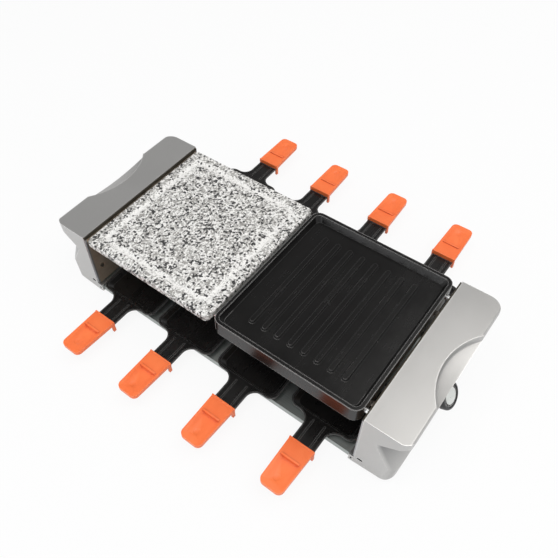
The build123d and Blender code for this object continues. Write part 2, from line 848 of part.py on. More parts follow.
with BuildPart() as terminal_block:
    block_x = inner_wall_x + block_inset + block_width / 2
    block_y = block_offset
    with BuildSketch(Plane.XY.offset(post_z)):
        with Locations((block_x, block_y)):
            Rectangle(block_width, block_length)
    extrude(amount=block_height)
    with BuildSketch(Plane.YZ.offset(block_x - block_width)):
        with Locations((block_y, post_z + block_height / 2)):
            with GridLocations(block_hole_pitch, 0, 3, 1):
                Circle(block_hole_radius)
    extrude(amount=2 * block_width, mode=Mode.SUBTRACT)
save(terminal_block.part, "terminal_block")

with BuildPart() as thermal_fuse:
    with BuildSketch(Plane.XZ.offset(-fuse_offset)):
        with Locations((inner_wall_x + fuse_radius + bush_gap, base_z + fuse_height)):
            Circle(fuse_radius)
    extrude(amount=fuse_length / 2, both=True)
save(thermal_fuse.part, "thermal_fuse")

# One pan, drawn with its handle flange at the origin and its bowl toward +Y
pan_middle = pan_neck_length + pan_depth / 2


def pan_plan(inset, corner):
    """Rounded outline of the bowl, drawn in by inset."""
    with Locations((0, pan_middle)):
        RectangleRounded(pan_width - 2 * inset, pan_depth - 2 * inset, corner)


with BuildPart() as pan_form:
    with BuildSketch(Plane.XY.offset(pan_z - pan_sheet)) as rim_plan:
        pan_plan(0, pan_corner)
        with Locations((0, pan_middle / 2)):
            Rectangle(pan_neck_width, pan_middle)
        fillet(
            rim_plan.vertices().filter_by_position(
                Axis.X, -pan_neck_width / 2 - seat_gap, pan_neck_width / 2 + seat_gap
            ).filter_by_position(Axis.Y, pan_neck_length - seat_gap, pan_neck_length + seat_gap),
            pan_neck_flare,
        )
        with Locations((0, -tang_length / 2)):
            Rectangle(tang_width, tang_length)
            Circle(tang_hole / 2, mode=Mode.SUBTRACT)
    extrude(amount=pan_sheet)
    # Bead round the edge of the bowl and the neck
    with BuildSketch(Plane.XY.offset(pan_z)) as bead_plan:
        pan_plan(0, pan_corner)
        with Locations((0, pan_middle / 2)):
            Rectangle(pan_neck_width, pan_middle)
        fillet(
            bead_plan.vertices().filter_by_position(
                Axis.X, -pan_neck_width / 2 - seat_gap, pan_neck_width / 2 + seat_gap
            ).filter_by_position(Axis.Y, pan_neck_length - seat_gap, pan_neck_length + seat_gap),
            pan_neck_flare,
        )
        offset(amount=-pan_bead_width, mode=Mode.SUBTRACT)
    extrude(amount=pan_bead_height)
    # Bowl pressed down out of the rim
    for z, inset in ((pan_z - pan_bowl, pan_rim + pan_slope), (pan_z - pan_sheet, pan_rim)):
        with BuildSketch(Plane.XY.offset(z)):
            pan_plan(inset, pan_corner - pan_rim)
    loft(ruled=True)
    hollow_levels = (
        (pan_z - pan_bowl + pan_sheet, pan_rim + pan_slope + pan_sheet),
        (pan_z, pan_rim + pan_sheet),
    )
    for z, inset in hollow_levels:
        with BuildSketch(Plane.XY.offset(z)):
            pan_plan(inset, pan_corner - pan_rim - pan_sheet)
    loft(ruled=True, mode=Mode.SUBTRACT)
    # Two stiffening grooves along the neck
    with BuildSketch(Plane.XY.offset(pan_z - neck_groove_depth)):
        with Locations((0, pan_neck_length / 2)):
            with GridLocations(neck_groove_pitch, 0, 2, 1):
                SlotOverall(pan_neck_length - 2 * pan_bead_width, neck_groove_width, rotation=90)
    extrude(amount=neck_groove_depth, mode=Mode.SUBTRACT)

# One handle, drawn with its guard at the origin and its far end toward -Y
handle_top = pan_z + handle_rise


with BuildPart() as handle_form:
    with BuildSketch(Plane.XY.offset(pan_z - guard_drop)) as handle_plan:
        with BuildLine():
            Polyline(
                (-handle_width / 2, 0),
                (handle_width / 2, 0),
                (handle_end_width / 2, -handle_length),
                (-handle_end_width / 2, -handle_length),
                close=True,
            )
        make_face()
        fillet(handle_plan.vertices().group_by(Axis.Y)[0], handle_corner)
    extrude(amount=guard_drop + handle_rise + handle_step)
    low_z = pan_z - handle_drop
    with BuildSketch(Plane.YZ) as side_profile:
        with BuildLine():
            Polyline(
                (0, low_z),
                (0, handle_top),
                (-handle_step_start, handle_top),
                (-handle_step_end, handle_top + handle_step),
                (-handle_length, handle_top + handle_step - handle_end_drop),
                (-handle_length, pan_z + handle_end_drop),
                close=True,
            )
        make_face()
        for bend in ((-handle_step_start, handle_top), (-handle_step_end, handle_top + handle_step)):
            fillet(side_profile.vertices().sort_by_distance(bend)[0], handle_bend)
    extrude(amount=handle_width, both=True, mode=Mode.INTERSECT)
    top_faces = handle_form.faces().filter_by(lambda face: face.normal_at().Z > 1 / 2)
    top_edges = top_faces.edges().filter_by(lambda edge: abs((edge % 0.5).X) < 1 / 2)
    fillet(top_edges, handle_edge)
    # Thumb dish on the raised part
    with BuildPart(mode=Mode.PRIVATE) as thumb_ball:
        with Locations((0, -dish_place, handle_top + handle_step - dish_depth + dish_radius)):
            Sphere(dish_radius, rotation=(90, 0, 0))
    add(thumb_ball.part, mode=Mode.SUBTRACT)
    # Ridge across the pan end of the handle
    with Locations((0, -ridge_length / 2, handle_top + ridge_rise / 2)):
        Box(handle_width - 2 * handle_edge, ridge_length, ridge_rise)
    # Hollow underside
    pocket_top = pan_z - pan_sheet - handle_edge
    with BuildSketch(Plane.XY.offset(pan_z - guard_drop)) as pocket_plan:
        with Locations((0, -handle_length / 2)):
            Rectangle(handle_end_width - 2 * handle_wall, handle_length - 2 * handle_wall)
        fillet(pocket_plan.vertices(), handle_corner - handle_wall)
    extrude(amount=pocket_top - pan_z + guard_drop, mode=Mode.SUBTRACT)
    # Guard with two flared legs at the pan end, and a tab further out
    with BuildSketch(Plane.XZ) as guard:
        with BuildLine():
            Polyline(
                (-handle_width / 2, handle_top),
                (handle_width / 2, handle_top),
                (handle_width / 2 + guard_flare, pan_z - guard_drop),
                (-handle_width / 2 - guard_flare, pan_z - guard_drop),
                close=True,
            )
        make_face()
        with Locations((0, pan_z - guard_drop)):
            Rectangle(handle_width - 2 * guard_leg, 2 * (guard_drop - handle_drop), mode=Mode.SUBTRACT)
    extrude(amount=guard_thickness)
    with Locations((0, -tab_place - tab_thickness / 2, pan_z - tab_drop / 2)):
        Box(handle_end_width, tab_thickness, tab_drop)
    # Slot for the pan's tang, with a stud that snaps into the hole in it
    with Locations((0, 0, pan_z - pan_sheet / 2)):
        Box(
            tang_width + 2 * tang_gap,
            2 * (tang_length + tang_gap),
            pan_sheet + 2 * tang_gap,
            mode=Mode.SUBTRACT,
        )
    with Locations((0, -tang_length / 2, pan_z - pan_sheet / 2)):
        Cylinder(tang_hole / 2 - tang_gap, pan_sheet + 2 * tang_gap)


def place_pan(form, x, reach, side, label):
    """Copy of a pan or handle form, pulled out by reach on the front (-1) or back (1)."""
    turn = 0 if side < 0 else 180
    with BuildPart() as placed:
        with Locations(Location((x, side * (half_depth + reach), 0), (0, 0, turn))):
            add(form)
    save(placed.part, label)


for number in range(pan_count):
    rows = (("front", -1, front_pan_x, front_pan_reach), ("back", 1, back_pan_x, back_pan_reach))
    for row, side, across, reach in rows:
        place_pan(pan_form.part, across[number], reach[number], side, f"pan_{row}_{number + 1}")
        place_pan(handle_form.part, across[number], reach[number], side, f"handle_{row}_{number + 1}")
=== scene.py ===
import json
import math

import bmesh
import bpy
from mathutils import Matrix, Vector


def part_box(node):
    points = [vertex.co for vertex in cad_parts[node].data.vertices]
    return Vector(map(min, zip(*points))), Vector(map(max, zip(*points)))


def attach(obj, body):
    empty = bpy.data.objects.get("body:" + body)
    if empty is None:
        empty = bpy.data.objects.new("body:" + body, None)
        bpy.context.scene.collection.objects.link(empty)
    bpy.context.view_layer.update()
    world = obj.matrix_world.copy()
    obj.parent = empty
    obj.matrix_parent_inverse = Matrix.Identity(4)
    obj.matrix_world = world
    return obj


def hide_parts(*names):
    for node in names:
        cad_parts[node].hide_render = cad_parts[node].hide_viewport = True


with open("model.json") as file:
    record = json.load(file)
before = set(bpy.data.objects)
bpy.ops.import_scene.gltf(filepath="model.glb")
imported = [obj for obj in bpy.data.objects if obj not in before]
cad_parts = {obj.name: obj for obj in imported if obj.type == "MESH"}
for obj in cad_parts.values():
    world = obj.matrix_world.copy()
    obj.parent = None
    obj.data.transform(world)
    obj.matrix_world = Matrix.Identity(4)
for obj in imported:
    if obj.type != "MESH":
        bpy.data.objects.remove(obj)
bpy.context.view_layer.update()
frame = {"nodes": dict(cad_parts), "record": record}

bpy.ops.object.select_all(action="DESELECT")
nodes = frame["nodes"]
TINY = 0.00001
SAME_POINT = 0.000002
NECK_BELOW_TOP = 0.0089
PANS = [f"{row}_{number}" for row in ("front", "back") for number in (1, 2, 3, 4)]


# Camera

IMAGE_SIDE = 558
FOCAL_PIXELS = 615.35
MIDDLE_U, MIDDLE_V = 241.47, 280.42
CAMERA_TURN, CAMERA_TILT, CAMERA_ROLL = math.radians(40.57), math.radians(51.61), math.radians(-3.04)
CAMERA_PLACE = Vector((0.29951, -0.39644, 0.69572))
SENSOR = 36.0
CLIP_NEAR, CLIP_FAR = 0.01, 50.0


def make_camera():
    """The photograph's camera: its place, its turn and where its optical axis meets the image."""
    forward = Vector((
        -math.sin(CAMERA_TURN) * math.cos(CAMERA_TILT),
        math.cos(CAMERA_TURN) * math.cos(CAMERA_TILT),
        -math.sin(CAMERA_TILT),
    ))
    level_right = Vector((math.cos(CAMERA_TURN), math.sin(CAMERA_TURN), 0))
    level_up = level_right.cross(forward)
    right = level_right * math.cos(CAMERA_ROLL) + level_up * math.sin(CAMERA_ROLL)
    up = -level_right * math.sin(CAMERA_ROLL) + level_up * math.cos(CAMERA_ROLL)
    turn = Matrix((right, up, -forward)).transposed().to_4x4()
    data = bpy.data.cameras.new("photo_camera")
    data.sensor_width = SENSOR
    data.sensor_fit = "HORIZONTAL"
    data.lens = FOCAL_PIXELS * SENSOR / IMAGE_SIDE
    data.shift_x = (IMAGE_SIDE / 2 - MIDDLE_U) / IMAGE_SIDE
    data.shift_y = (MIDDLE_V - IMAGE_SIDE / 2) / IMAGE_SIDE
    data.clip_start = CLIP_NEAR
    data.clip_end = CLIP_FAR
    camera = bpy.data.objects.new("photo_camera", data)
    camera.matrix_world = Matrix.Translation(CAMERA_PLACE) @ turn
    bpy.context.scene.collection.objects.link(camera)
    bpy.context.scene.camera = camera


# Material helpers

NOISE_RANGE = (0.3, 0.7)
EDGE_STARTS, EDGE_FULL = 0.015, 0.16
EDGE_SAMPLES = 6
SHELTER_SAMPLES = 8
DEEP_SHARE = 0.5
MIX_FIRST, MIX_SECOND, MIX_RESULT = 6, 7, 2


class Finish:
    """One procedural material: a shader whose colour, roughness and bump come from nodes."""

    def __init__(self, name, **settings):
        self.material = bpy.data.materials.new(name)
        self.material.use_nodes = True
        self.tree = self.material.node_tree
        self.shader = self.tree.nodes["Principled BSDF"]
        self.place = self.add("ShaderNodeTexCoord").outputs["Object"]
        for socket, value in settings.items():
            self.shader.inputs[socket.replace("_", " ")].default_value = value

    def add(self, kind, **properties):
        """A new node with some of its properties set."""
        node = self.tree.nodes.new(kind)
        for key, value in properties.items():
            setattr(node, key, value)
        return node

    def link(self, source, target):
        self.tree.links.new(source, target)

    def feed(self, value, socket):
        """Gives a socket a plain value, or the result of another node."""
        if isinstance(value, bpy.types.NodeSocket):
            self.link(value, socket)
        else:
            socket.default_value = value

    def stretched(self, factors):
        """Object coordinates scaled by three factors, for streaks."""
        node = self.add("ShaderNodeVectorMath", operation="MULTIPLY")
        self.link(self.place, node.inputs[0])
        node.inputs[1].default_value = factors
        return node.outputs[0]

    def noise(self, scale, detail=3.0, roughness=0.5, vector=None):
        node = self.add("ShaderNodeTexNoise")
        self.link(vector or self.place, node.inputs["Vector"])
        node.inputs["Scale"].default_value = scale
        node.inputs["Detail"].default_value = detail
        node.inputs["Roughness"].default_value = roughness
        return node.outputs["Fac"]

    def cells(self, scale, vector):
        """A random number for each of many small cells."""
        node = self.add("ShaderNodeTexVoronoi")
        self.link(vector, node.inputs["Vector"])
        node.inputs["Scale"].default_value = scale
        return self.plus(node.outputs["Color"], 0.0)

    def span(self, value, low, high, to_low=0.0, to_high=1.0, smooth=False):
        """A value between two limits, carried over to two other limits."""
        node = self.add("ShaderNodeMapRange", interpolation_type="SMOOTHSTEP" if smooth else "LINEAR")
        self.link(value, node.inputs["Value"])
        limits = {"From Min": low, "From Max": high, "To Min": to_low, "To Max": to_high}
        for socket, number in limits.items():
            node.inputs[socket].default_value = number
        return node.outputs["Result"]

    def calculate(self, operation, first, second=0.0):
        """The result of one arithmetic node."""
        node = self.add("ShaderNodeMath", operation=operation)
        for value, socket in zip((first, second), node.inputs):
            self.feed(value, socket)
        return node.outputs[0]

    def plus(self, first, second):
        return self.calculate("ADD", first, second)

    def minus(self, first, second):
        return self.calculate("SUBTRACT", first, second)

    def times(self, first, second):
        return self.calculate("MULTIPLY", first, second)

    def larger(self, first, second):
        return self.calculate("MAXIMUM", first, second)

    def without_sign(self, value):
        return self.calculate("ABSOLUTE", value)

    def blend(self, first, second, first_share):
        """Two noises in shares that make one whole."""
        return self.plus(self.times(first, first_share), self.times(second, 1 - first_share))

    def mix(self, share, first, second):
        """A colour that goes from the first to the second as the share goes from 0 to 1."""
        node = self.add("ShaderNodeMix", data_type="RGBA")
        self.feed(share, node.inputs["Factor"])
        for value, number in ((first, MIX_FIRST), (second, MIX_SECOND)):
            is_socket = isinstance(value, bpy.types.NodeSocket)
            self.feed(value if is_socket else (*value, 1.0), node.inputs[number])
        return node.outputs[MIX_RESULT]

    def axes(self):
        """The three coordinates of a place on the surface."""
        node = self.add("ShaderNodeSeparateXYZ")
        self.link(self.place, node.inputs[0])
        return node.outputs["X"], node.outputs["Y"], node.outputs["Z"]

    def colour(self, value):
        self.feed(value, self.shader.inputs["Base Color"])

    def roughness(self, value):
        self.feed(value, self.shader.inputs["Roughness"])

    def edges(self, radius):
        """1 on edges and creases that turn sharply within a radius, 0 on flat surfaces."""
        rounded = self.add("ShaderNodeBevel", samples=EDGE_SAMPLES)
        rounded.inputs["Radius"].default_value = radius
        surface = self.add("ShaderNodeNewGeometry")
        agree = self.add("ShaderNodeVectorMath", operation="DOT_PRODUCT")
        self.link(rounded.outputs["Normal"], agree.inputs[0])
        self.link(surface.outputs["Normal"], agree.inputs[1])
        turned_away = self.minus(1.0, agree.outputs["Value"])
        return self.span(turned_away, EDGE_STARTS, EDGE_FULL, smooth=True)

    def recess(self, distance, open_share):
        """1 in hollows and inner corners narrower than a distance, 0 in the open."""
        shelter = self.add("ShaderNodeAmbientOcclusion", samples=SHELTER_SAMPLES, only_local=True)
        shelter.inputs["Distance"].default_value = distance
        return self.span(shelter.outputs["AO"], open_share, DEEP_SHARE)

    def painted_highlight_and_shade(self, base, highlight_colour, hollow_shade_colour, radius, distance, highlight_most=1.0, shade_most=1.0,
             open_share=0.95, where=1.0):
        """A colour with painted highlights on sharp edges and painted shade in hollows, and the share of
        painted highlight.
        """
        # Painted shade in hollows and inner corners, painted highlights on the edges outside them
        hollow = self.recess(distance, open_share)
        highlight_share = self.times(self.edges(radius), self.minus(1.0, hollow))
        highlight_share = self.times(highlight_share, where)
        deep = self.mix(self.times(hollow, shade_most), base, hollow_shade_colour)
        return self.mix(self.times(highlight_share, highlight_most), deep, highlight_colour), highlight_share

    def bump(self, height, distance):
        """Small relief on the surface, from a height between 0 and 1."""
        node = self.add("ShaderNodeBump")
        node.inputs["Distance"].default_value = distance
        self.link(height, node.inputs["Height"])
        self.link(node.outputs["Normal"], self.shader.inputs["Normal"])


def plain(name, dark, light, rough, grain, depth):
    """Moulded or painted surface: two near shades, uneven gloss and a fine grain."""
    finish = Finish(name)
    broad = finish.noise(scale=26.0, detail=4.0, roughness=0.6)
    fine = finish.noise(scale=grain, detail=2.0)
    blend = finish.blend(broad, fine, 0.6)
    finish.colour(finish.mix(finish.span(blend, *NOISE_RANGE), dark, light))
    finish.roughness(finish.span(blend, *NOISE_RANGE, rough - 0.04, rough + 0.05))
    finish.bump(fine, depth)
    return finish.material


def streaked(name, dark, light, rough, streaks, depth, metallic=1.0):
    """Rolled or drawn metal: streaks along one direction in colour, gloss and height."""
    finish = Finish(name, Metallic=metallic)
    lines = finish.noise(scale=1.0, detail=4.0, roughness=0.7, vector=finish.stretched(streaks))
    stains = finish.noise(scale=18.0, detail=4.0, roughness=0.6)
    blend = finish.blend(lines, stains, 0.55)
    finish.colour(finish.mix(finish.span(blend, 0.32, 0.68), dark, light))
    finish.roughness(finish.span(blend, *NOISE_RANGE, rough - 0.05, rough + 0.07))
    finish.bump(lines, depth)
    return finish.material


SCOOP_OUTER, SCOOP_INNER = 0.264, 0.236
SCOOP_FACE, SCOOP_FACE_FADE = 0.001, 0.0025
SCOOP_TOP, SCOOP_TOP_FADE = 0.008, 0.004
# Painted shade: the scooped front corners of the housings are greyed darker, as if in shade
SCOOP_SHADE_MOST = 0.6
SCOOP_SHADE_COLOUR = (0.12, 0.12, 0.123)


def scoop_shade_share(finish):
    """1 deep in the scooped corners of the housings and 0 on their outer faces: the share of painted shade
    there.
    """
    x, y, z = finish.axes()
    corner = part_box("right_housing")[1]
    face = corner.y - SCOOP_FACE
    top = corner.z - SCOOP_TOP
    inward = finish.span(finish.without_sign(x), SCOOP_OUTER, SCOOP_INNER)
    behind_face = finish.span(finish.without_sign(y), face, face - SCOOP_FACE_FADE)
    below_top = finish.span(z, top, top - SCOOP_TOP_FADE)
    return finish.times(finish.times(inward, behind_face), below_top)


def silver_paint():
    """Satin silver paint over plastic: fine flake, a soft clear coat and a slight orange peel."""
    finish = Finish("satin_silver_paint", Metallic=0.72, Coat_Weight=0.2, Coat_Roughness=0.22)
    dark, light = (0.47, 0.463, 0.452), (0.56, 0.553, 0.542)
    flake = finish.noise(scale=2600.0, detail=1.0)
    broad = finish.noise(scale=9.0, detail=3.0)
    base = finish.mix(finish.span(finish.blend(flake, broad, 0.6), 0.35, 0.65), dark, light)
    # Painted shade deepens the scooped corners
    base = finish.mix(finish.times(scoop_shade_share(finish), SCOOP_SHADE_MOST), base, SCOOP_SHADE_COLOUR)
    # Painted highlights on the sharp edges and painted shade in the hollows and recesses
    colour, highlight_share = finish.painted_highlight_and_shade(
        base, highlight_colour=(1.0, 0.99, 0.97), hollow_shade_colour=(0.15, 0.15, 0.152),
        radius=0.0016, distance=0.045, shade_most=0.9, open_share=0.97,
    )
    finish.colour(colour)
    finish.roughness(finish.minus(finish.span(flake, *NOISE_RANGE, 0.3, 0.38), finish.times(highlight_share, 0.1)))
    peel = finish.noise(scale=420.0, detail=2.0)
    finish.bump(finish.plus(finish.times(flake, 0.5), peel), 0.000035)
    return finish.material


GROOVE_INSET = 0.0175
GROOVE_CORNER = 0.012
GROOVE_REACH = 0.0075


def groove_share(finish):
    """1 on the centre line of the stone's juice groove and 0 away from it."""
    low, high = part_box("granite_plate")
    half_x = (high.x - low.x) / 2 - GROOVE_INSET
    half_y = high.y - GROOVE_INSET
    x, y, _ = finish.axes()
    across = finish.without_sign(finish.minus(x, (low.x + high.x) / 2))
    past_x = finish.minus(across, half_x - GROOVE_CORNER)
    past_y = finish.minus(finish.without_sign(y), half_y - GROOVE_CORNER)
    out_x = finish.larger(past_x, 0.0)
    out_y = finish.larger(past_y, 0.0)
    squares = finish.plus(finish.times(out_x, out_x), finish.times(out_y, out_y))
    round_part = finish.calculate("SQRT", squares)
    straight_part = finish.calculate("MINIMUM", finish.larger(past_x, past_y), 0.0)
    away = finish.without_sign(finish.minus(finish.plus(round_part, straight_part), GROOVE_CORNER))
    return finish.span(away, 0.0, GROOVE_REACH, 1.0, 0.0, smooth=True)


def granite():
    """Coarse speckled granite: white and grey crystals with black mica, paler in the ground groove."""
    grey_crystal, white_crystal = (0.32, 0.31, 0.29), (0.84, 0.825, 0.80)
    small_grey, mica_black = (0.33, 0.32, 0.31), (0.035, 0.034, 0.035)
    ragged_by = 0.0026
    finish = Finish("speckled_granite", IOR=1.5)
    wobble = finish.add("ShaderNodeTexNoise")
    finish.link(finish.place, wobble.inputs["Vector"])
    wobble.inputs["Scale"].default_value = 380.0
    wobble.inputs["Detail"].default_value = 3.0
    shift = finish.add("ShaderNodeVectorMath", operation="MULTIPLY_ADD")
    finish.link(wobble.outputs["Color"], shift.inputs[0])
    shift.inputs[1].default_value = (ragged_by, ragged_by, ragged_by)
    finish.link(finish.place, shift.inputs[2])
    ragged = shift.outputs[0]
    groove = groove_share(finish)
    patch = finish.noise(scale=120.0, detail=3.0, roughness=0.6)
    # White and grey crystals, whiter in the groove
    tone = finish.plus(finish.cells(480.0, ragged), finish.span(patch, *NOISE_RANGE, -0.16, 0.16))
    tone = finish.plus(tone, finish.times(groove, 0.38))
    base = finish.mix(finish.span(tone, 0.30, 0.62), grey_crystal, white_crystal)
    small = finish.span(finish.cells(900.0, ragged), 0.72, 0.80)
    base = finish.mix(finish.times(small, 0.55), base, small_grey)
    # Black mica, rarer in the groove
    seed = finish.minus(finish.cells(380.0, ragged), finish.span(patch, 0.35, 0.65, 0.0, 0.14))
    seed = finish.plus(seed, finish.times(groove, 0.15))
    mica = finish.span(seed, 0.20, 0.26, 1.0, 0.0)
    finish.colour(finish.mix(mica, base, mica_black))
    finish.roughness(finish.span(tone, 0.2, 0.8, 0.42, 0.58))
    pits = finish.noise(scale=1400.0, detail=2.0)
    finish.bump(finish.plus(pits, finish.times(mica, 0.8)), 0.00012)
    return finish.material


RIM_DOWN, RIM_FADE = 0.0045, 0.001
RIB_END, RIB_END_FADE = 0.082, 0.0035
RIB_SIDES_SHARE = 0.12


def grill_highlight_places(finish):
    """1 on the grill plate's rim and at the front ends of its ribs, a faint share along the ribs: where its
    painted highlights go.
    """
    _, along, height = finish.axes()
    rim_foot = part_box("grill_plate")[1].z - RIM_DOWN
    rim = finish.span(height, rim_foot, rim_foot + RIM_FADE)
    ends = finish.span(along, -RIB_END + RIB_END_FADE, -RIB_END)
    return finish.larger(finish.larger(rim, ends), RIB_SIDES_SHARE)


def non_stick_coating(name, black, grey, rough, edge_width, highlight_colour, where=None, **settings):
    """Non-stick coating: near black with a fine spatter, duller patches and a slight grain, with painted
    highlights on its edges and painted shade in its hollows.
    """
    finish = Finish(name, **settings)
    spatter = finish.noise(scale=1500.0, detail=2.0, roughness=0.7)
    patches = finish.noise(scale=22.0, detail=5.0, roughness=0.65)
    wipes = finish.noise(scale=1.0, detail=3.0, roughness=0.6, vector=finish.stretched((260.0, 18.0, 60.0)))
    base = finish.mix(finish.span(finish.blend(spatter, patches, 0.4), 0.35, 0.7), black, grey)
    # Painted highlights on the edges and painted shade in the hollows
    colour, _ = finish.painted_highlight_and_shade(
        base, highlight_colour, hollow_shade_colour=(0.003, 0.003, 0.003), radius=edge_width, distance=0.006,
        highlight_most=0.9, where=where(finish) if where else 1.0,
    )
    finish.colour(colour)
    dull = finish.span(patches, *NOISE_RANGE, rough - 0.05, rough + 0.07)
    finish.roughness(finish.plus(dull, finish.span(wipes, 0.45, 0.75, 0.0, 0.05)))
    finish.bump(spatter, 0.00003)
    return finish.material


def shield_steel():
    """Polished steel with brown heat tint, painted shade along its upper fold and grey at its ends."""
    finish = Finish("heat_tinted_shield_steel", Metallic=0.7)
    brown, pale_brown = (0.50, 0.39, 0.28), (0.70, 0.60, 0.48)
    end_grey, fold_shade = (0.40, 0.40, 0.41), (0.05, 0.042, 0.03)
    lines = finish.noise(scale=1.0, detail=4.0, roughness=0.7, vector=finish.stretched((40, 22, 900)))
    stains = finish.noise(scale=30.0, detail=5.0, roughness=0.65)
    blend = finish.blend(lines, stains, 0.4)
    base = finish.mix(finish.span(blend, 0.32, 0.68), brown, pale_brown)
    _, along, height = finish.axes()
    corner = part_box("right_heat_shield")[1]
    at_end = finish.span(finish.without_sign(along), corner.y - 0.003, corner.y - 0.002)
    base = finish.mix(at_end, base, end_grey)
    # Painted shade: the top of the shield darkens along its upper fold, under the housing's edge
    fold_shade_height = finish.plus(height, finish.times(stains, 0.002))
    finish.colour(finish.mix(finish.span(fold_shade_height, corner.z - 0.004, corner.z - 0.0015), base, fold_shade))
    finish.roughness(finish.span(blend, *NOISE_RANGE, 0.3, 0.42))
    finish.bump(lines, 0.00001)
    return finish.material


def orange_plastic():
    """Satin orange plastic: faint flow marks, a matt grain and slightly deeper colour in patches."""
    finish = Finish("orange_plastic", IOR=1.46, Coat_Weight=0.12, Coat_Roughness=0.3)
    deep, pale = (0.95, 0.173, 0.043), (0.985, 0.207, 0.056)
    flow = finish.noise(scale=60.0, detail=3.0, roughness=0.6, vector=finish.stretched((1.0, 0.35, 1.0)))
    grain = finish.noise(scale=2200.0, detail=2.0)
    # Painted highlights on the edges and painted shade in the hollows
    colour, _ = finish.painted_highlight_and_shade(
        finish.mix(finish.span(flow, *NOISE_RANGE), deep, pale), highlight_colour=(1.0, 0.34, 0.155),
        hollow_shade_colour=(0.50, 0.045, 0.010), radius=0.0009, distance=0.006, highlight_most=0.8,
        shade_most=0.95,
    )
    finish.colour(colour)
    finish.roughness(finish.span(flow, *NOISE_RANGE, 0.36, 0.46))
    finish.bump(finish.plus(grain, finish.times(flow, 2.0)), 0.00003)
    return finish.material


finishes = {
    "silver_shell": silver_paint(),
    "black_cover": plain(
        "black_cover_plastic", dark=(0.022, 0.022, 0.023), light=(0.034, 0.034, 0.036),
        rough=0.5, grain=900.0, depth=0.00008,
    ),
    "foot_rubber": plain(
        "foot_rubber", dark=(0.018, 0.018, 0.018), light=(0.03, 0.03, 0.03),
        rough=0.72, grain=1200.0, depth=0.0001,
    ),
    "zinc_screw": streaked(
        "zinc_plated_steel", dark=(0.50, 0.49, 0.46), light=(0.68, 0.67, 0.64),
        rough=0.3, streaks=(900, 900, 900), depth=0.00002,
    ),
    "shield_steel": shield_steel(),
    "rod_steel": streaked(
        "bright_rod_steel", dark=(0.62, 0.62, 0.62), light=(0.78, 0.78, 0.78),
        rough=0.2, streaks=(60, 900, 900), depth=0.00001,
    ),
    "tray_steel": streaked(
        "brushed_tray_steel", dark=(0.30, 0.33, 0.315), light=(0.52, 0.55, 0.535),
        rough=0.34, streaks=(25, 1300, 1300), depth=0.00003, metallic=0.85,
    ),
    "element_sheath": streaked(
        "heated_sheath", dark=(0.13, 0.115, 0.105), light=(0.27, 0.245, 0.22),
        rough=0.42, streaks=(30, 500, 500), depth=0.00004,
    ),
    "ceramic": plain(
        "unglazed_ceramic", dark=(0.70, 0.68, 0.62), light=(0.80, 0.785, 0.73),
        rough=0.62, grain=1500.0, depth=0.00006,
    ),
    "bracket_steel": streaked(
        "plain_bracket_steel", dark=(0.36, 0.36, 0.35), light=(0.50, 0.50, 0.49),
        rough=0.36, streaks=(700, 40, 700), depth=0.00002,
    ),
    "granite": granite(),
    "grill_coating": non_stick_coating(
        "grill_non_stick", black=(0.005, 0.0047, 0.0046), grey=(0.009, 0.0084, 0.0082),
        rough=0.22, edge_width=0.0022, highlight_colour=(0.42, 0.41, 0.40),
        where=grill_highlight_places, Specular_IOR_Level=0.36,
    ),
    "dial_black": plain(
        "black_dial_plastic", dark=(0.014, 0.014, 0.015), light=(0.024, 0.024, 0.026),
        rough=0.36, grain=1400.0, depth=0.00003,
    ),
    "dial_white": plain(
        "white_dial_plastic", dark=(0.66, 0.68, 0.655), light=(0.72, 0.735, 0.71),
        rough=0.26, grain=1400.0, depth=0.00002,
    ),
    "pan_coating": non_stick_coating(
        "pan_non_stick", black=(0.006, 0.0056, 0.0054), grey=(0.012, 0.011, 0.0106),
        rough=0.26, edge_width=0.0013, highlight_colour=(0.2, 0.195, 0.19), Specular_IOR_Level=0.45,
    ),
    "handle_orange": orange_plastic(),
    "switchgear": plain(
        "moulded_switch_block", dark=(0.05, 0.044, 0.038), light=(0.085, 0.075, 0.066),
        rough=0.4, grain=900.0, depth=0.00005,
    ),
    "brass_nut": streaked(
        "turned_brass", dark=(0.62, 0.46, 0.2), light=(0.78, 0.6, 0.3),
        rough=0.26, streaks=(900, 900, 900), depth=0.00002,
    ),
}


def finish_nodes():
    """Every node that is still shown gets the finish that the record names for it."""
    for row in frame["record"]["subparts"]:
        slots = nodes[row["node"]].data.materials
        slots.clear()
        slots.append(finishes[row["material_slot"]])


# Modelling helpers

FLAT_WITHIN = math.radians(0.4)


def only(piece):
    """Selects one object and nothing else."""
    bpy.ops.object.select_all(action="DESELECT")
    piece.select_set(True)
    bpy.context.view_layer.objects.active = piece


def settle(piece, slot, body, *replaced):
    """Finishes a new piece: its material, the body that it rides on and the nodes that it stands for."""
    piece.data.materials.clear()
    piece.data.materials.append(finishes[slot])
    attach(piece, body)
    if replaced:
        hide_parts(*replaced)


def softened(node, body, slot, width, sharp=32.0, segments=2):
    """A node's own form with its sharp edges eased, in place of the node."""
    piece = bpy.data.objects.new(f"{node}_eased", nodes[node].data.copy())
    bpy.context.scene.collection.objects.link(piece)
    only(piece)
    bpy.ops.object.mode_set(mode="EDIT")
    bpy.ops.mesh.select_all(action="SELECT")
    bpy.ops.mesh.remove_doubles(threshold=SAME_POINT)
    bpy.ops.mesh.dissolve_limited(angle_limit=FLAT_WITHIN)
    bpy.ops.mesh.normals_make_consistent(inside=False)
    bpy.ops.object.mode_set(mode="OBJECT")
    ease_edges(piece, width, segments, sharp, "MITER_ARC")
    settle(piece, slot, body, node)


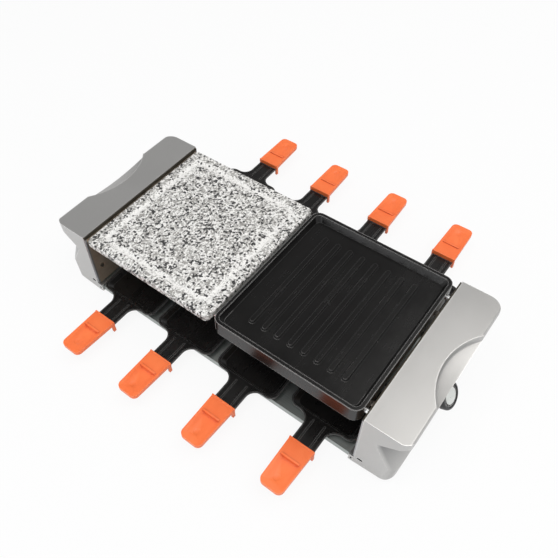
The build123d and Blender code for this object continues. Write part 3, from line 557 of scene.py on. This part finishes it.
def pick(piece, kind, test):
    """Selects in edit mode the faces or edges whose middle and direction pass a test."""
    bpy.ops.mesh.select_mode(type=kind)
    bpy.ops.mesh.select_all(action="DESELECT")
    shape = bmesh.from_edit_mesh(piece.data)
    shape.normal_update()
    if kind == "FACE":
        for face in shape.faces:
            face.select_set(test(face.calc_center_median(), face.normal))
    else:
        for edge in shape.edges:
            first, second = (corner.co for corner in edge.verts)
            edge.select_set(test((first + second) / 2, (second - first).normalized()))
    shape.select_flush_mode()
    bmesh.update_edit_mesh(piece.data)


def block(name, low, high):
    """A new box between two corners, left in edit mode with its scale applied."""
    middle = (Vector(low) + Vector(high)) / 2
    size = Vector(high) - Vector(low)
    bpy.ops.object.select_all(action="DESELECT")
    bpy.ops.mesh.primitive_cube_add(size=1.0, location=middle, scale=size)
    piece = bpy.context.object
    piece.name = name
    bpy.ops.object.transform_apply(location=True, rotation=True, scale=True)
    bpy.ops.object.mode_set(mode="EDIT")
    return piece


def cut_across(*planes):
    """Cuts the whole mesh along planes, each given by a point and a normal."""
    for point, normal in planes:
        bpy.ops.mesh.select_all(action="SELECT")
        bpy.ops.mesh.bisect(plane_co=point, plane_no=normal)


def combine(piece, other, operation):
    """Joins another solid to a piece, or takes it out of the piece, and deletes it."""
    only(piece)
    step = piece.modifiers.new("combine", "BOOLEAN")
    step.operation = operation
    step.solver = "EXACT"
    step.object = other
    bpy.ops.object.modifier_apply(modifier=step.name)
    bpy.data.objects.remove(other)


def ease_edges(piece, width, segments=2, sharp=35.0, corners="MITER_SHARP"):
    """Rounds the sharp edges, shades the rest smooth and keeps flat faces flat."""
    only(piece)
    ease = piece.modifiers.new("eased_edges", "BEVEL")
    ease.width = width
    ease.segments = segments
    ease.limit_method = "ANGLE"
    ease.angle_limit = math.radians(sharp)
    ease.use_clamp_overlap = True
    ease.miter_outer = corners
    bpy.ops.object.modifier_apply(modifier=ease.name)
    bpy.ops.object.shade_smooth_by_angle(angle=math.radians(sharp))
    level = piece.modifiers.new("flat_shading", "WEIGHTED_NORMAL")
    level.keep_sharp = True
    bpy.ops.object.modifier_apply(modifier=level.name)


def copy_of(piece, name, place):
    """A copy with its own mesh, moved by a matrix that goes into the mesh."""
    twin = bpy.data.objects.new(name, piece.data.copy())
    bpy.context.scene.collection.objects.link(twin)
    twin.data.transform(place)
    return twin


# Handles

HANDLE_LENGTH = 0.0645
HANDLE_WIDTH, HANDLE_END_WIDTH = 0.0338, 0.0303
HANDLE_TOP, HANDLE_END_TOP = 0.0066, 0.0084
HANDLE_DEEP = 0.0062
HANDLE_HOLLOW = 0.0022
HANDLE_CORNER = 0.007
HANDLE_RIM = 0.0024
DISH_START, DISH_DEEP, DISH_SLOPE = 0.0222, 0.0026, 0.0012
DISH_NARROWED = 0.76
RIDGE_LONG, RIDGE_PROUD = 0.0024, 0.0012
LIP_LENGTH, LIP_PROUD = 0.0022, 0.0006
LEG_DOWN, LEG_THICK, LEG_LONG, LEG_FLARE = 0.0105, 0.0034, 0.0044, 0.0007
TAB_PLACE, TAB_LONG, TAB_DOWN = 0.034, 0.0022, 0.0030
THUMB_PLACE, THUMB_HALF_LENGTH, THUMB_HALF_WIDTH, THUMB_DEEP = 0.048, 0.0085, 0.0072, 0.0008
THUMB_SHARE = 0.34
THUMB_BALL_HIGH = 0.0040
HANDLE_EASE = 0.0005
SOCKET_HALF_WIDTH, SOCKET_LENGTH, SOCKET_DOWN = 0.0105, 0.0220, 0.0026


def handle_top_at(y):
    """Height of the straight rims at a place along the handle."""
    return HANDLE_TOP + (HANDLE_END_TOP - HANDLE_TOP) * -y / HANDLE_LENGTH


def add_block(piece, low, high, flare=0.0):
    """Joins an eased box to a handle, its corners below the neck moved outward by a flare."""
    part = block("handle_part", low, high)
    shape = bmesh.from_edit_mesh(part.data)
    for corner in shape.verts:
        if corner.co.z < 0:
            corner.co.x += math.copysign(flare, corner.co.x)
    bmesh.update_edit_mesh(part.data)
    bpy.ops.object.mode_set(mode="OBJECT")
    ease_edges(part, HANDLE_EASE)
    combine(piece, part, "UNION")


def model_handle():
    """The orange grip: a hollow cap with a lip and two legs at the pan, a step and a thumb dish."""
    half = HANDLE_WIDTH / 2
    low_z = HANDLE_TOP - HANDLE_DEEP
    piece = block("handle_master", (-half, -HANDLE_LENGTH, low_z), (half, 0, HANDLE_TOP))
    cut_across(((0, -LIP_LENGTH, 0), (0, 1, 0)), ((0, -DISH_START, 0), (0, 1, 0)))
    # The far end narrows and rises
    shape = bmesh.from_edit_mesh(piece.data)
    for corner in shape.verts:
        share = -corner.co.y / HANDLE_LENGTH
        corner.co.z += handle_top_at(corner.co.y) - HANDLE_TOP
        corner.co.x *= 1 - share * (1 - HANDLE_END_WIDTH / HANDLE_WIDTH)
    bmesh.update_edit_mesh(piece.data)
    # Rounded far corners
    pick(piece, "EDGE", lambda place, line: abs(line.z) > 0.9 and place.y < TINY - HANDLE_LENGTH)
    bpy.ops.mesh.bevel(offset=HANDLE_CORNER, segments=8, affect="EDGES")
    # Hollow underside
    pick(piece, "FACE", lambda place, normal: normal.z < -0.9 and place.y < -LIP_LENGTH)
    bpy.ops.mesh.inset(thickness=HANDLE_RIM)
    bpy.ops.mesh.extrude_region_move(TRANSFORM_OT_translate={"value": (0, 0, HANDLE_HOLLOW)})
    # Lip round the pan end
    pick(
        piece, "FACE",
        lambda place, normal: place.y > -LIP_LENGTH and (normal.z > 0.9 or abs(normal.x) > 0.9),
    )
    bpy.ops.mesh.extrude_region_shrink_fatten(TRANSFORM_OT_shrink_fatten={"value": LIP_PROUD})
    # Dish, deepest at the step where it starts and level with the rim at the far end
    pick(piece, "FACE", lambda place, normal: normal.z > 0.9 and place.y < -DISH_START)
    bpy.ops.mesh.inset(thickness=HANDLE_RIM)
    bpy.ops.mesh.inset(thickness=DISH_SLOPE)
    shape = bmesh.from_edit_mesh(piece.data)
    floor = [corner for corner in shape.verts if corner.select]
    places = [corner.co.y for corner in floor]
    near, far = max(places), min(places)
    for corner in floor:
        corner.co.z -= DISH_DEEP * (corner.co.y - far) / (near - far)
        corner.co.x *= DISH_NARROWED
    bmesh.update_edit_mesh(piece.data)
    bpy.ops.object.mode_set(mode="OBJECT")
    ease_edges(piece, HANDLE_EASE, 3)
    # Shallow oval for the thumb
    floor_z = handle_top_at(-THUMB_PLACE) - DISH_DEEP * THUMB_SHARE
    bpy.ops.object.select_all(action="DESELECT")
    bpy.ops.mesh.primitive_uv_sphere_add(
        segments=56, ring_count=28, location=(0, -THUMB_PLACE, floor_z + THUMB_BALL_HIGH - THUMB_DEEP),
        scale=(THUMB_HALF_WIDTH, THUMB_HALF_LENGTH, THUMB_BALL_HIGH),
    )
    thumb = bpy.context.object
    bpy.ops.object.transform_apply(location=True, rotation=True, scale=True)
    combine(piece, thumb, "DIFFERENCE")
    inner = half - LEG_THICK
    # Legs that clip round the neck
    for left, right in ((inner, half), (-half, -inner)):
        add_block(piece, (left, -LEG_LONG, -LEG_DOWN), (right, -TINY, HANDLE_TOP - LEG_THICK), LEG_FLARE)
    # Block that holds the neck's tang
    hollow_z = low_z + HANDLE_HOLLOW
    add_block(
        piece, (-SOCKET_HALF_WIDTH, -SOCKET_LENGTH, -SOCKET_DOWN),
        (SOCKET_HALF_WIDTH, -LIP_LENGTH, hollow_z),
    )
    # Ridge where the dish starts
    ridge_y = -DISH_START - HANDLE_RIM
    ridge_z = handle_top_at(ridge_y)
    ridge_half = inner - DISH_SLOPE
    add_block(
        piece, (-ridge_half, ridge_y, ridge_z - RIDGE_LONG),
        (ridge_half, ridge_y + RIDGE_LONG, ridge_z + RIDGE_PROUD),
    )
    # Tab under the grip
    add_block(
        piece, (-inner, -TAB_PLACE - TAB_LONG, low_z - TAB_DOWN),
        (inner, -TAB_PLACE, hollow_z + HANDLE_RIM / 2),
    )
    only(piece)
    bpy.ops.object.shade_smooth_by_angle(angle=math.radians(30))
    return piece


def place_handles():
    """One handle modelled, then copied onto the eight necks."""
    master = model_handle()
    for name in PANS:
        low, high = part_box(f"handle_{name}")
        front = name.startswith("front")
        end = Vector(((low.x + high.x) / 2, high.y if front else low.y, high.z - NECK_BELOW_TOP))
        turn = Matrix.Rotation(0 if front else math.pi, 4, "Z")
        piece = copy_of(master, f"grip_{name}", Matrix.Translation(end) @ turn)
        settle(piece, "handle_orange", f"pan_{name}", f"handle_{name}")
    bpy.data.objects.remove(master)


# Dial

SEAT = Vector((0.25728, 0.0, 0.0506))
DIAL_AXIS = Vector((0.866025, 0.0, 0.5))
KNOB_LOW, KNOB_HIGH, KNOB_RADIUS = 0.0006, 0.0096, 0.0175
RING_RADIUS, DISC_RADIUS = 0.0140, 0.0104
TICKS = 11
TICK_SPAN = math.radians(270)
TICK_HALF_LENGTH, TICK_HALF_WIDTH = 0.0011, 0.00022
TICK_SUNK, TICK_PROUD = 0.0002, 0.00012
PIP_PLACE, PIP_UP = -0.0036, 0.0008
PIP_HALF_WIDTH, PIP_HALF_HEIGHT = 0.0020, 0.0014
TURNED_SIDES = 96


def turned(name, radius, low, steps):
    """A turned form on the Z axis: a disc whose top is inset and raised step by step."""
    bpy.ops.object.select_all(action="DESELECT")
    bpy.ops.mesh.primitive_circle_add(
        vertices=TURNED_SIDES, radius=radius, fill_type="NGON", location=(0, 0, low)
    )
    piece = bpy.context.object
    piece.name = name
    bpy.ops.object.transform_apply(location=True, rotation=True, scale=True)
    bpy.ops.object.mode_set(mode="EDIT")
    bpy.ops.mesh.select_all(action="SELECT")
    bpy.ops.mesh.extrude_region_move(TRANSFORM_OT_translate={"value": (0, 0, steps[0][1])})
    for inset, rise in steps[1:]:
        bpy.ops.mesh.extrude_region_move(TRANSFORM_OT_translate={"value": (0, 0, rise)})
        if inset:
            size = (radius - inset) / radius
            bpy.ops.transform.resize(value=(size, size, 1), center_override=(0, 0, 0))
            radius -= inset
    bpy.ops.mesh.select_all(action="SELECT")
    bpy.ops.mesh.normals_make_consistent(inside=False)
    bpy.ops.object.mode_set(mode="OBJECT")
    return piece


def round_over(radius, count=6):
    """Steps that round an edge over by a radius."""
    steps = []
    for number in range(count):
        first, last = (math.pi / 2 * (number + more) / count for more in (0, 1))
        inset = radius * (math.cos(first) - math.cos(last))
        rise = radius * (math.sin(last) - math.sin(first))
        steps.append((inset, rise))
    return steps


def make_dial():
    """Knob with a rounded black rim, a silver ring with plain ticks and a white disc with a pip."""
    turn = DIAL_AXIS.to_track_quat("Z", "Y").to_matrix().to_4x4()
    seat = Matrix.Translation(SEAT) @ turn
    height = KNOB_HIGH - KNOB_LOW
    foot_high, flare_wide, flare_high = 0.0004, 0.0008, 0.0006
    rim_round, ring_round, disc_round = 0.0026, 0.0004, 0.0005
    ring_drop, disc_rise = 0.0007, 0.0004
    gap_wide, gap_slope, gap_deep = 0.0010, 0.0006, 0.0005
    body = turned("knob_rim", KNOB_RADIUS - flare_wide, KNOB_LOW, [
        (0, foot_high), (-flare_wide, flare_high), (0, height - rim_round - foot_high - flare_high),
        *round_over(rim_round), (KNOB_RADIUS - rim_round - RING_RADIUS, 0), (0, -ring_drop),
    ])
    ring = turned("knob_ring", RING_RADIUS, KNOB_LOW, [
        (0, height - ring_drop - ring_round), *round_over(ring_round, 3),
        (RING_RADIUS - DISC_RADIUS - gap_wide, 0), (gap_slope, -gap_deep),
    ])
    disc = turned("knob_disc", DISC_RADIUS, KNOB_LOW, [
        (0, height - disc_round), *round_over(disc_round, 4),
        (0.0016, disc_rise / 2), (0.0020, disc_rise / 2),
    ])
    # Shallow pip that marks where the knob points
    bpy.ops.object.select_all(action="DESELECT")
    bpy.ops.mesh.primitive_uv_sphere_add(
        segments=32, ring_count=16, location=(PIP_PLACE, 0, KNOB_HIGH + PIP_UP),
        scale=(PIP_HALF_WIDTH, PIP_HALF_WIDTH, PIP_HALF_HEIGHT),
    )
    pip = bpy.context.object
    bpy.ops.object.transform_apply(location=True, rotation=True, scale=True)
    combine(disc, pip, "DIFFERENCE")
    for piece, slot, node in (
        (body, "dial_black", "thermostat_knob"),
        (ring, "silver_shell", "knob_cap"),
        (disc, "dial_white", "knob_cap"),
    ):
        only(piece)
        bpy.ops.object.shade_smooth_by_angle(angle=math.radians(30))
        piece.data.transform(seat)
        settle(piece, slot, "dial", node)
    # Ticks on the ring
    for number in range(TICKS):
        angle = math.pi + TICK_SPAN * (number / (TICKS - 1) - 0.5)
        reach = (RING_RADIUS + DISC_RADIUS) / 2
        tick = block(
            f"knob_tick_{number + 1}",
            (reach - TICK_HALF_LENGTH, -TICK_HALF_WIDTH, KNOB_HIGH - ring_drop - TICK_SUNK),
            (reach + TICK_HALF_LENGTH, TICK_HALF_WIDTH, KNOB_HIGH - ring_drop + TICK_PROUD),
        )
        bpy.ops.object.mode_set(mode="OBJECT")
        ease_edges(tick, 0.00006, 1)
        tick.data.transform(seat @ Matrix.Rotation(angle, 4, "Z"))
        settle(tick, "dial_black", "dial")


# Bead round the crescent recess

BEAD_RADIUS, BEAD_SIDES, BEAD_STEPS = 0.0007, 16, 96
BEAD_ARC = math.radians(76)
CRESCENT_MIDDLE = 0.33544
CRESCENT_RADIUS = 0.09144


def make_bead(side, turn):
    """A fine raised bead along the top edge of a housing's crescent recess."""
    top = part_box(f"{side}_housing")[1].z
    bpy.ops.object.select_all(action="DESELECT")
    bpy.ops.mesh.primitive_circle_add(
        vertices=BEAD_SIDES, radius=BEAD_RADIUS, fill_type="NOTHING",
        location=(CRESCENT_MIDDLE - CRESCENT_RADIUS, 0, top - BEAD_RADIUS - TINY),
        rotation=(math.radians(90), 0, 0),
    )
    bead = bpy.context.object
    bead.name = f"{side}_crescent_bead"
    bpy.ops.object.transform_apply(location=True, rotation=True, scale=True)
    bead.data.transform(
        Matrix.Translation((CRESCENT_MIDDLE, 0, 0))
        @ Matrix.Rotation(-BEAD_ARC / 2, 4, "Z")
        @ Matrix.Translation((-CRESCENT_MIDDLE, 0, 0))
    )
    bpy.ops.object.mode_set(mode="EDIT")
    bpy.ops.mesh.select_all(action="SELECT")
    bpy.ops.mesh.spin(steps=BEAD_STEPS, angle=-BEAD_ARC, center=(CRESCENT_MIDDLE, 0, 0), axis=(0, 0, 1))
    bpy.ops.mesh.select_all(action="SELECT")
    bpy.ops.mesh.remove_doubles(threshold=SAME_POINT)
    bpy.ops.mesh.fill_holes(sides=0)
    bpy.ops.mesh.select_all(action="SELECT")
    bpy.ops.mesh.normals_make_consistent(inside=False)
    bpy.ops.object.mode_set(mode="OBJECT")
    bpy.ops.object.shade_smooth_by_angle(angle=math.radians(40))
    bead.data.transform(Matrix.Rotation(turn, 4, "Z"))
    settle(bead, "silver_shell", "frame")


# Pieces

finish_nodes()
make_bead("right", 0.0)
make_bead("left", math.pi)
for side in ("left", "right"):
    softened(f"{side}_housing", "frame", "silver_shell", 0.0014, segments=3)
softened("granite_plate", "granite", "granite", 0.0008, sharp=40.0)
softened("grill_plate", "grill", "grill_coating", 0.0016, sharp=28.0, segments=3)
for name in PANS:
    softened(f"pan_{name}", f"pan_{name}", "pan_coating", 0.0003, sharp=30.0)
place_handles()
make_dial()


# Floor, world and lamps

FLOOR_SIDE = 8.0
FLOOR_GREY = 0.8
SEEN_SHARE = 0.9
FLOOR_MIRRORED = 0.55
OVERHEAD = 0.24
OVERHEAD_STARTS, OVERHEAD_FULL = 0.1, 0.65
FILL_COLOUR, FILL_STRENGTH = (0.96, 0.98, 1.0, 1.0), 0.5
WHITE = (1.0, 1.0, 1.0, 1.0)


def seen_or_mirrored(tree, mirrored=1.0):
    """1 for rays from the camera and through clear things, and a share of 1 for mirrored ones."""
    path = tree.nodes.new("ShaderNodeLightPath")
    first = tree.nodes.new("ShaderNodeMath")
    first.operation = "MAXIMUM"
    tree.links.new(path.outputs["Is Camera Ray"], first.inputs[0])
    bounced = tree.nodes.new("ShaderNodeMath")
    bounced.operation = "MULTIPLY"
    tree.links.new(path.outputs["Is Glossy Ray"], bounced.inputs[0])
    bounced.inputs[1].default_value = mirrored
    tree.links.new(bounced.outputs[0], first.inputs[1])
    second = tree.nodes.new("ShaderNodeMath")
    second.operation = "MAXIMUM"
    tree.links.new(first.outputs[0], second.inputs[0])
    tree.links.new(path.outputs["Is Transmission Ray"], second.inputs[1])
    return second.outputs[0]


def make_floor():
    """A plain pale floor that looks white but keeps the object's shadow."""
    bpy.ops.mesh.primitive_plane_add(size=FLOOR_SIDE, location=(0, 0, 0))
    floor = bpy.context.object
    floor.name = "pale_floor"
    material = bpy.data.materials.new("pale_floor")
    material.use_nodes = True
    tree = material.node_tree
    tree.nodes.clear()
    matt = tree.nodes.new("ShaderNodeBsdfDiffuse")
    matt.inputs["Color"].default_value = (FLOOR_GREY, FLOOR_GREY, FLOOR_GREY, 1.0)
    glow = tree.nodes.new("ShaderNodeEmission")
    glow.inputs["Color"].default_value = WHITE
    share = tree.nodes.new("ShaderNodeMath")
    share.operation = "MULTIPLY"
    tree.links.new(seen_or_mirrored(tree, FLOOR_MIRRORED), share.inputs[0])
    share.inputs[1].default_value = SEEN_SHARE
    blend = tree.nodes.new("ShaderNodeMixShader")
    output = tree.nodes.new("ShaderNodeOutputMaterial")
    tree.links.new(share.outputs[0], blend.inputs[0])
    tree.links.new(matt.outputs[0], blend.inputs[1])
    tree.links.new(glow.outputs[0], blend.inputs[2])
    tree.links.new(blend.outputs[0], output.inputs[0])
    floor.data.materials.append(material)


def make_world():
    """Even white surroundings, a little dimmer overhead for mirrored rays."""
    world = bpy.data.worlds.new("soft_studio")
    bpy.context.scene.world = world
    world.use_nodes = True
    tree = world.node_tree
    tree.nodes.clear()
    fill = tree.nodes.new("ShaderNodeBackground")
    fill.inputs["Color"].default_value = FILL_COLOUR
    fill.inputs["Strength"].default_value = FILL_STRENGTH
    seen = tree.nodes.new("ShaderNodeBackground")
    seen.inputs["Strength"].default_value = 1.0
    direction = tree.nodes.new("ShaderNodeTexCoord")
    height = tree.nodes.new("ShaderNodeSeparateXYZ")
    tree.links.new(direction.outputs["Generated"], height.inputs[0])
    climb = tree.nodes.new("ShaderNodeMapRange")
    climb.interpolation_type = "SMOOTHSTEP"
    tree.links.new(height.outputs["Z"], climb.inputs["Value"])
    climb.inputs["From Min"].default_value = OVERHEAD_STARTS
    climb.inputs["From Max"].default_value = OVERHEAD_FULL
    path = tree.nodes.new("ShaderNodeLightPath")
    overhead = tree.nodes.new("ShaderNodeMath")
    overhead.operation = "SUBTRACT"
    tree.links.new(climb.outputs["Result"], overhead.inputs[0])
    tree.links.new(path.outputs["Is Camera Ray"], overhead.inputs[1])
    overhead.use_clamp = True
    shade = tree.nodes.new("ShaderNodeMix")
    shade.data_type = "RGBA"
    tree.links.new(overhead.outputs[0], shade.inputs["Factor"])
    shade.inputs[MIX_FIRST].default_value = WHITE
    shade.inputs[MIX_SECOND].default_value = (OVERHEAD, OVERHEAD, OVERHEAD, 1.0)
    tree.links.new(shade.outputs[MIX_RESULT], seen.inputs["Color"])
    blend = tree.nodes.new("ShaderNodeMixShader")
    output = tree.nodes.new("ShaderNodeOutputWorld")
    tree.links.new(seen_or_mirrored(tree), blend.inputs[0])
    tree.links.new(fill.outputs[0], blend.inputs[1])
    tree.links.new(seen.outputs[0], blend.inputs[2])
    tree.links.new(blend.outputs[0], output.inputs[0])


def add_lamp(name, place, aim, width, height, power, colour):
    """Rectangular soft light at a place, turned to a point."""
    data = bpy.data.lights.new(name, "AREA")
    data.shape = "RECTANGLE"
    data.size, data.size_y = width, height
    data.energy = power
    data.color = colour
    lamp = bpy.data.objects.new(name, data)
    lamp.location = place
    lamp.rotation_euler = (Vector(aim) - Vector(place)).to_track_quat("-Z", "Y").to_euler()
    bpy.context.scene.collection.objects.link(lamp)


make_floor()
make_world()
add_lamp(
    "overhead_soft_box", place=(1.1, 0.3, 2.5), aim=(1.1, 0.3, 0.0),
    width=2.4, height=3.2, power=48.0, colour=(1.0, 0.985, 0.96),
)
add_lamp(
    "edge_soft_box", place=(-0.55, -0.75, 2.4), aim=(-0.1, -0.1, 0.0),
    width=0.8, height=0.45, power=9.0, colour=(1.0, 1.0, 1.0),
)
add_lamp(
    "front_soft_box", place=(0.1, -1.9, 1.35), aim=(0.0, 0.0, 0.05),
    width=1.7, height=0.26, power=6.0, colour=(0.9, 0.94, 1.0),
)
add_lamp(
    "low_soft_box", place=(-0.55, -2.0, 0.28), aim=(0.1, 0.0, 0.1),
    width=1.5, height=0.4, power=4.5, colour=(0.97, 0.98, 1.0),
)
make_camera()

bpy.context.scene.view_settings.view_transform = "Standard"
